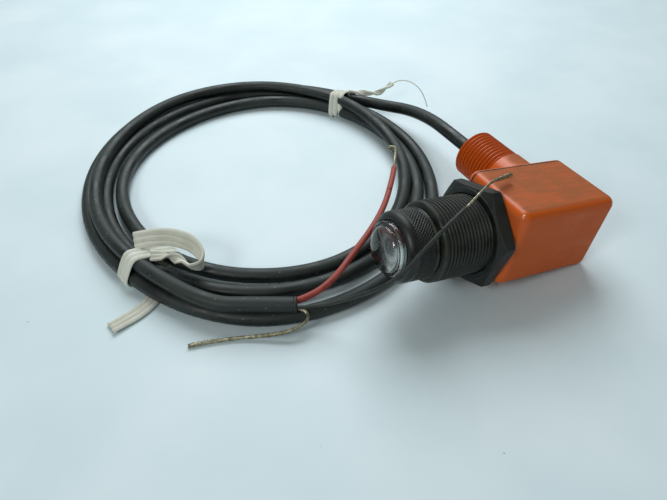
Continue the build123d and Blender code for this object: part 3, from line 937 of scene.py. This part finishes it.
# Extruded rubber jacket: a soft long highlight, grey-green dust and pale specks
cable_jacket = dusty("cable_jacket_rubber", "#0B1412", "#2C3732", "#848C84", 0.34, share=0.7,
                     cloud_mm=13.0, grain_mm=0.6, relief_mm=0.06, specks=0.6)
# Extruded insulation of the two conductors: satin, faded where it is dusty
red_insulation = dusty("red_lead_insulation", "#8E2A22", "#A8584B", "#C99486", 0.4, share=0.6,
                       cloud_mm=6.0, specks=0.2)
black_insulation = dusty("black_lead_insulation", "#141A18", "#39423A", "#6B7365", 0.42, share=0.7,
                         cloud_mm=6.0, specks=0.2)
# Off-white ribbed strip over core wires: matt, yellowed where dust lies
tie_strip = dusty("ribbed_tie_strip", "#DADDD0", "#A9A68E", "#E8EAE0", 0.6, share=0.35, cloud_mm=8.0,
                  grain_mm=0.25, relief_mm=0.03)

# %% [markdown]
# ## Orange block
#
# The block is moulded in a strong orange that shows on its rounded edges and round the stub,
# where hands rub it. Its flat faces carry pale grey-brown dust. So the mask is how far the
# surface's direction is from the block's own flat faces. The foot of the stub's ridges is
# painted darker brown, and one small pale chip sits at the top front corner.

# %% Block material
SEAM_FROM_STUB = 24.55  # from the middle of the stub's thread to the cover's seam, mm
RIDGE_DARK_REACH = 19.0  # from there to where the darkening between the ridges ends, mm
RIDGE_DARK_STARTS, RIDGE_DARK_FULL = 10.1, 9.3  # the darkening's radii round the stub's axis, mm
block_plastic, tree, shader = new_material("moulded_orange_plastic")
place = add_node(tree, "ShaderNodeTexCoord").outputs["Object"]
normal = add_node(tree, "ShaderNodeNewGeometry").outputs["Normal"]
level = add_node(tree, "ShaderNodeVectorRotate", {"Vector": normal, "Angle": TILT}, rotation_type="X_AXIS")
size = add_node(tree, "ShaderNodeVectorMath", {0: level.outputs[0]}, operation="ABSOLUTE")
axes = add_node(tree, "ShaderNodeSeparateXYZ", {0: size.outputs[0]})
flat = add_node(tree, "ShaderNodeMath", {0: axes.outputs[0], 1: axes.outputs[1]}, operation="MAXIMUM")
flat = add_node(tree, "ShaderNodeMath", {0: flat.outputs[0], 1: axes.outputs[2]}, operation="MAXIMUM")
facing_up = add_node(tree, "ShaderNodeSeparateXYZ", {0: level.outputs[0]}).outputs["Z"]
cloud = add_node(tree, "ShaderNodeTexNoise",
                 {"Vector": place, "Scale": 1 / (8 * MM), "Detail": 7.0, "Roughness": 0.65})
streak_place = add_node(tree, "ShaderNodeMapping", {"Vector": place, "Scale": (2.6, 0.5, 1.0)})
streak = add_node(tree, "ShaderNodeTexNoise",
                  {"Vector": streak_place.outputs[0], "Scale": 1 / (6 * MM), "Detail": 5.0})
grain = add_node(tree, "ShaderNodeTexNoise", {"Vector": place, "Scale": 1 / (0.3 * MM), "Detail": 3.0})
flatness = add_node(tree, "ShaderNodeMapRange",
                    {"Value": flat.outputs[0], "From Min": 0.86, "From Max": 0.985},
                    interpolation_type="SMOOTHSTEP").outputs[0]
dust_cloud = add_node(tree, "ShaderNodeMath", {0: cloud.outputs[0], 1: streak.outputs[0]}, operation="ADD")
dust_share = add_node(tree, "ShaderNodeMapRange",
                      {"Value": dust_cloud.outputs[0], "From Min": 0.72, "From Max": 1.16},
                      interpolation_type="SMOOTHSTEP").outputs[0]
dust_share = add_node(tree, "ShaderNodeMath", {0: dust_share, 1: 0.45, 2: 0.5},
                      operation="MULTIPLY_ADD")
dust_share = add_node(tree, "ShaderNodeMath", {0: dust_share.outputs[0], 1: flatness},
                      operation="MULTIPLY")
upward = add_node(tree, "ShaderNodeMapRange",
                  {"Value": facing_up, "From Min": 0.2, "From Max": 0.9},
                  interpolation_type="SMOOTHSTEP").outputs[0]
dust_colour = add_node(tree, "ShaderNodeMix", {0: upward, 6: linear("#C45A1E"), 7: linear("#9C5526")},
                       data_type="RGBA").outputs[2]
colour = add_node(tree, "ShaderNodeMix",
                  {0: dust_share.outputs[0], 6: linear("#CC5800"), 7: dust_colour},
                  data_type="RGBA").outputs[2]
stub = Vector(mounts["conduit_thread"]["pos_m"])
from_stub = add_node(tree, "ShaderNodeVectorMath", {0: place, 1: stub}, operation="SUBTRACT")
from_axis = add_node(tree, "ShaderNodeVectorMath", {0: from_stub.outputs[0], 1: (0, 1, 1)},
                     operation="MULTIPLY")
stub_radius = add_node(tree, "ShaderNodeVectorMath", {0: from_axis.outputs[0]}, operation="LENGTH")
# The foot of the stub's ridges is painted darker brown
ridge_dark = add_node(tree, "ShaderNodeMapRange",
                 {"Value": stub_radius.outputs["Value"], "From Min": RIDGE_DARK_STARTS * MM,
                  "From Max": RIDGE_DARK_FULL * MM, "To Max": 0.75},
                 interpolation_type="SMOOTHSTEP").outputs[0]
along_stub = add_node(tree, "ShaderNodeSeparateXYZ", {0: from_stub.outputs[0]}).outputs["X"]
on_stub = add_node(tree, "ShaderNodeMapRange",
                   {"Value": along_stub, "From Min": RIDGE_DARK_REACH * MM,
                    "From Max": (RIDGE_DARK_REACH - 1) * MM},
                   interpolation_type="SMOOTHSTEP").outputs[0]
ridge_dark = add_node(tree, "ShaderNodeMath", {0: ridge_dark, 1: on_stub}, operation="MULTIPLY").outputs[0]
colour = add_node(tree, "ShaderNodeMix", {0: ridge_dark, 6: colour, 7: linear("#3E2416")},
                  data_type="RGBA").outputs[2]
seam_gap = add_node(tree, "ShaderNodeMath", {0: along_stub, 1: SEAM_FROM_STUB * MM}, operation="SUBTRACT")
seam_gap = add_node(tree, "ShaderNodeMath", {0: seam_gap.outputs[0]}, operation="ABSOLUTE")
seam_reach = add_node(tree, "ShaderNodeMath", {0: cloud.outputs[0], 1: 0.9 * MM}, operation="MULTIPLY")
seam_gap = add_node(tree, "ShaderNodeMath", {0: seam_gap.outputs[0], 1: seam_reach.outputs[0]},
                    operation="SUBTRACT")
seam = add_node(tree, "ShaderNodeMapRange",
                {"Value": seam_gap.outputs[0], "From Min": 0.15 * MM,
                 "From Max": -0.2 * MM, "To Max": 0.85},
                interpolation_type="SMOOTHSTEP").outputs[0]
colour = add_node(tree, "ShaderNodeMix", {0: seam, 6: colour, 7: linear("#33251A")},
                  data_type="RGBA").outputs[2]
CHIP = SEAT @ (Vector((15.6, 17.9, -0.9)) * MM)
chip_gap = add_node(tree, "ShaderNodeVectorMath", {0: place, 1: CHIP}, operation="DISTANCE")
chip_edge = add_node(tree, "ShaderNodeMath",
                     {0: grain.outputs[0], 1: 0.9 * MM, 2: chip_gap.outputs["Value"]},
                     operation="MULTIPLY_ADD")
chip = add_node(tree, "ShaderNodeMapRange",
                {"Value": chip_edge.outputs[0], "From Min": 1.05 * MM, "From Max": 0.85 * MM},
                interpolation_type="SMOOTHSTEP").outputs[0]
colour = add_node(tree, "ShaderNodeMix", {0: chip, 6: colour, 7: linear("#E8D2B4")},
                  data_type="RGBA").outputs[2]
tree.links.new(colour, shader.inputs["Base Color"])
rough = add_node(tree, "ShaderNodeMapRange",
                 {"Value": dust_share.outputs[0], "To Min": 0.34, "To Max": 0.8})
tree.links.new(rough.outputs[0], shader.inputs["Roughness"])
bump = add_node(tree, "ShaderNodeBump",
                {"Height": grain.outputs[0], "Strength": 0.25, "Distance": 0.02 * MM})
tree.links.new(bump.outputs[0], shader.inputs["Normal"])
shader.inputs["IOR"].default_value = 1.5

# %% [markdown]
# ## Clear parts, metals and the board
#
# The lens is moulded clear plastic, so it gets that plastic's index. Bare copper wire here is
# tinned and dull. The board is green laminate with a fine glass weave, and its parts carry
# the finish that such parts have: lacquer with colour bands, epoxy, a printed sleeve.

# %% Clear materials


def clear(name, tint, index, roughness, marked=0.06):
    """A clear moulded or ground material with faint handling marks."""
    material, tree, shader = new_material(name)
    place = add_node(tree, "ShaderNodeTexCoord").outputs["Object"]
    marks = add_node(tree, "ShaderNodeTexNoise", {"Vector": place, "Scale": 1 / (3 * MM), "Detail": 4.0})
    rough = add_node(tree, "ShaderNodeMapRange",
                     {"Value": marks.outputs[0], "From Min": 0.35, "From Max": 0.7,
                      "To Min": roughness, "To Max": roughness + marked})
    tree.links.new(rough.outputs[0], shader.inputs["Roughness"])
    shader.inputs["Base Color"].default_value = linear(tint)
    shader.inputs["Transmission Weight"].default_value = 1.0
    shader.inputs["IOR"].default_value = index
    return material


# Acrylic, index 1.49, polished in the mould: sharp highlights. Its back is fine-textured, and tinted dark
# grey-green as painted shade for the dark inside of the head
lens_clear = clear("clear_acrylic_lens", "#EEF2EF", 1.49, 0.015)
# the back's dark grey-green tint is painted shade for the dark inside of the head
lens_frosted_and_shade = clear("fine_textured_acrylic_back_painted_shade", "#56605A", 1.49, 0.2, marked=0.01)
# Ground flat glass over the element
window_glass = clear("ground_window_glass", "#F4F6F6", 1.52, 0.01)

# %% [markdown]
# ## Tinned wire and plated can
#
# Tinned copper is silvery and goes grey-brown in patches with age; a plated can stays
# brighter. Both are plain metals with a noise that shifts colour and roughness together,
# because tarnish dulls a metal as well as darkening it.

# %% Metals


def metal(name, bright, dull, roughness, cloud_mm):
    """A metal with patches of dull tarnish."""
    material, tree, shader = new_material(name)
    place = add_node(tree, "ShaderNodeTexCoord").outputs["Object"]
    cloud = add_node(tree, "ShaderNodeTexNoise",
                     {"Vector": place, "Scale": 1 / (cloud_mm * MM), "Detail": 5.0})
    share = add_node(tree, "ShaderNodeMapRange",
                     {"Value": cloud.outputs[0], "From Min": 0.35, "From Max": 0.65},
                     interpolation_type="SMOOTHSTEP").outputs[0]
    colour = add_node(tree, "ShaderNodeMix", {0: share, 6: linear(bright), 7: linear(dull)},
                      data_type="RGBA").outputs[2]
    tree.links.new(colour, shader.inputs["Base Color"])
    rough = add_node(tree, "ShaderNodeMapRange",
                     {"Value": share, "To Min": roughness, "To Max": roughness + 0.2})
    tree.links.new(rough.outputs[0], shader.inputs["Roughness"])
    shader.inputs["Metallic"].default_value = 1.0
    return material


tinned_wire = metal("tinned_copper_wire", "#B9B59F", "#7E7A5E", 0.34, 1.6)
can_metal = metal("plated_steel_can", "#C7BFA4", "#9C9478", 0.24, 4.0)

# %% [markdown]
# ## Board and its parts
#
# Green solder resist over woven glass shows the weave as a faint relief: two crossed waves.
# The real weave is about 0.5 mm, and it is drawn at 1.6 mm so that it can be seen. The
# resistors' bands run along the barrel's axis, so their ramp is read along it.

# %% Board and its parts
board, tree, shader = new_material("green_glass_laminate")
place = add_node(tree, "ShaderNodeTexCoord").outputs["Object"]
weave = [
    add_node(tree, "ShaderNodeTexWave", {"Vector": place, "Scale": 1 / (1.6 * MM), "Distortion": 0.4},
             bands_direction=direction)
    for direction in ("Y", "Z")
]
cloth = add_node(tree, "ShaderNodeMath", {0: weave[0].outputs["Fac"], 1: weave[1].outputs["Fac"]},
                 operation="MULTIPLY")
colour = add_node(tree, "ShaderNodeMix",
                  {0: cloth.outputs[0], 6: linear("#24562F"), 7: linear("#2F6B3B")},
                  data_type="RGBA").outputs[2]
tree.links.new(colour, shader.inputs["Base Color"])
bump = add_node(tree, "ShaderNodeBump",
                {"Height": cloth.outputs[0], "Strength": 0.2, "Distance": 0.02 * MM})
tree.links.new(bump.outputs[0], shader.inputs["Normal"])
shader.inputs["Roughness"].default_value = 0.35
shader.inputs["IOR"].default_value = 1.55

# Moulded epoxy: matt charcoal
chip_epoxy = dusty("moulded_chip_epoxy", "#17181A", "#26282A", "#3A3C3E", 0.5, share=0.2, grain_mm=0.15,
                   round_mm=0.15)

# Lacquered ceramic with painted bands: a glossy tan
resistor_lacquer, tree, shader = new_material("banded_resistor_lacquer")
place = add_node(tree, "ShaderNodeTexCoord").outputs["Object"]
along = add_node(tree, "ShaderNodeVectorMath", {0: place, 1: BARREL_AXIS}, operation="DOT_PRODUCT")
RESISTOR_MIDDLE = (SEAT @ Vector((0, 0, -33 * MM))).dot(BARREL_AXIS)
RESISTOR_HALF = 3.15
share = add_node(tree, "ShaderNodeMapRange",
                 {"Value": along.outputs["Value"], "From Min": RESISTOR_MIDDLE - RESISTOR_HALF * MM,
                  "From Max": RESISTOR_MIDDLE + RESISTOR_HALF * MM})
bands = add_node(tree, "ShaderNodeValToRGB", {"Fac": share.outputs[0]})
bands.color_ramp.interpolation = "CONSTANT"
LACQUER = "#C9B184"
stops = [(0.0, LACQUER), (0.16, "#6B3A1E"), (0.26, LACQUER), (0.38, "#16181A"), (0.48, LACQUER),
         (0.60, "#B0482A"), (0.70, LACQUER), (0.84, "#A8883A"), (0.92, LACQUER)]
ramp = bands.color_ramp.elements
ramp[0].color = linear(stops[0][1])
ramp.remove(ramp[1])
for position, hex_colour in stops[1:]:
    ramp.new(position).color = linear(hex_colour)
tree.links.new(bands.outputs["Color"], shader.inputs["Base Color"])
shader.inputs["Roughness"].default_value = 0.3
shader.inputs["IOR"].default_value = 1.52

# Shrunk blue sleeve over the capacitor's can: smooth and a little shiny
# its edges are painted paler grey-blue: partly wear, partly a painted highlight
capacitor_sleeve = dusty("printed_capacitor_sleeve", "#22304E", "#33415C", "#8A93A5", 0.3, share=0.3,
                         round_mm=0.3, wear_and_sheen=0.3)

# %% [markdown]
# ## Which finish goes where
#
# New pieces get a material. CAD pieces whose shape is right stay as
# they are and only take a better material in the slots that they have.

# %% Finishes
for piece, material, slot in (
    (cable, cable_jacket, "cable_jacket"),
    (jacket_end, cable_jacket, "cable_jacket"),
    (lead_red, red_insulation, "red_lead"),
    (lead_black, black_insulation, "black_lead"),
    (red_end, red_insulation, "red_lead"),
    (black_end, black_insulation, "black_lead"),
    (drain, tinned_wire, "tinned_wire"),
    (red_bare, tinned_wire, "tinned_wire"),
    (black_bare, tinned_wire, "tinned_wire"),
    (drain_bare, tinned_wire, "tinned_wire"),
    (tie_front, tie_strip, "tie_strip"),
    (tie_back, tie_strip, "tie_strip"),
    (barrel, thread_plastic, "black_plastic"),
    (collar, collar_plastic, "black_plastic"),
    (lens, lens_clear, "clear_lens"),
):
    finish(piece, material)
lens.data.materials.append(lens_frosted_and_shade)
for face in lens.data.polygons:
    if all(number < LENS_SIDES * BACK_RINGS for number in face.vertices):
        face.material_index = 1
CAD_FINISH = {
    "housing_block": block_plastic,
    "conduit_cover": block_plastic,
    "nut_gasket": seal_rubber,
    "mounting_nut": black_plastic,
    "lens_seal_ring": seal_rubber,
    "element_holder": holder_plastic,
    "photo_element": can_metal,
    "element_window": window_glass,
    "element_legs": tinned_wire,
    "circuit_board": board,
    "resistors": resistor_lacquer,
    "amplifier_chip": chip_epoxy,
    "capacitor": capacitor_sleeve,
    "terminal_posts": tinned_wire,
    "cable_bush": seal_rubber,
    "cable_inner_run": cable_jacket,
    "cable_clamp_ring": can_metal,
    "inner_conductor_red": red_insulation,
    "inner_conductor_black": black_insulation,
}
for node, material in CAD_FINISH.items():
    for slot in frame["nodes"][node].material_slots:
        slot.material = material
print(len(CAD_FINISH), "CAD nodes keep their shape")

# %% [markdown]
# ## Table and light
#
# A pale, slightly blue table with faint scuffs, one broad soft light from behind and above,
# and a weak one from the camera's side: small black parts keep their shape and their
# shadows stay soft. A third, small one stands for a window and gives the lens its highlight.

# %% Table and light
bpy.ops.mesh.primitive_plane_add(size=3.0, location=(0, 0, 0))
table = bpy.context.object
table.name = "table"
table_material, tree, shader = new_material("table_laminate")
place = add_node(tree, "ShaderNodeTexCoord").outputs["Object"]
scuff = add_node(tree, "ShaderNodeTexNoise", {"Vector": place, "Scale": 1 / (60 * MM), "Detail": 6.0})
cells = add_node(tree, "ShaderNodeTexVoronoi", {"Vector": place, "Scale": 1 / (19 * MM)})
dots = add_node(tree, "ShaderNodeMapRange",
                {"Value": cells.outputs["Distance"], "From Min": 0.028,
                 "From Max": 0.012, "To Max": 0.5},
                interpolation_type="SMOOTHSTEP").outputs[0]
scuffed = add_node(tree, "ShaderNodeMapRange",
                   {"Value": scuff.outputs[0], "From Min": 0.3, "From Max": 0.75},
                   interpolation_type="SMOOTHSTEP").outputs[0]
colour = add_node(tree, "ShaderNodeMix", {0: scuffed, 6: linear("#CFE2E5"), 7: linear("#DBEAED")},
                  data_type="RGBA").outputs[2]
colour = add_node(tree, "ShaderNodeMix", {0: dots, 6: colour, 7: linear("#8F9C9E")},
                  data_type="RGBA").outputs[2]
tree.links.new(colour, shader.inputs["Base Color"])
shader.inputs["Roughness"].default_value = 0.5
table.data.materials.append(table_material)


def soft_light(name, place, aim, size, power, colour):
    """A square area light at place, pointed at aim, both in metres."""
    data = bpy.data.lights.new(name, "AREA")
    data.size = size
    data.energy = power
    data.color = linear(colour)[:3]
    lamp = bpy.data.objects.new(name, data)
    lamp.location = place
    lamp.rotation_euler = (Vector(aim) - Vector(place)).to_track_quat("-Z", "Y").to_euler()
    bpy.context.collection.objects.link(lamp)
    print(f"{name}: {power} W, {size} m across")


COIL_MIDDLE = (-0.06, -0.05, 0.0)
soft_light("light_above", (-0.44, 0.12, 0.52), COIL_MIDDLE, 0.5, 4.3, "#F4FAFF")
soft_light("light_side", (0.75, -0.35, 0.55), COIL_MIDDLE, 0.7, 0.7, "#F6FAFF")
soft_light("light_window", (0.25, -0.72, 0.58), (0.013, -0.045, 0.028), 0.24, 2.2, "#FFFFFF")
world = bpy.data.worlds.new("studio")
world.use_nodes = True
world.node_tree.nodes["Background"].inputs["Color"].default_value = linear("#EFF2F0")
world.node_tree.nodes["Background"].inputs["Strength"].default_value = 0.2
bpy.context.scene.world = world
bpy.context.scene.view_settings.view_transform = "Standard"
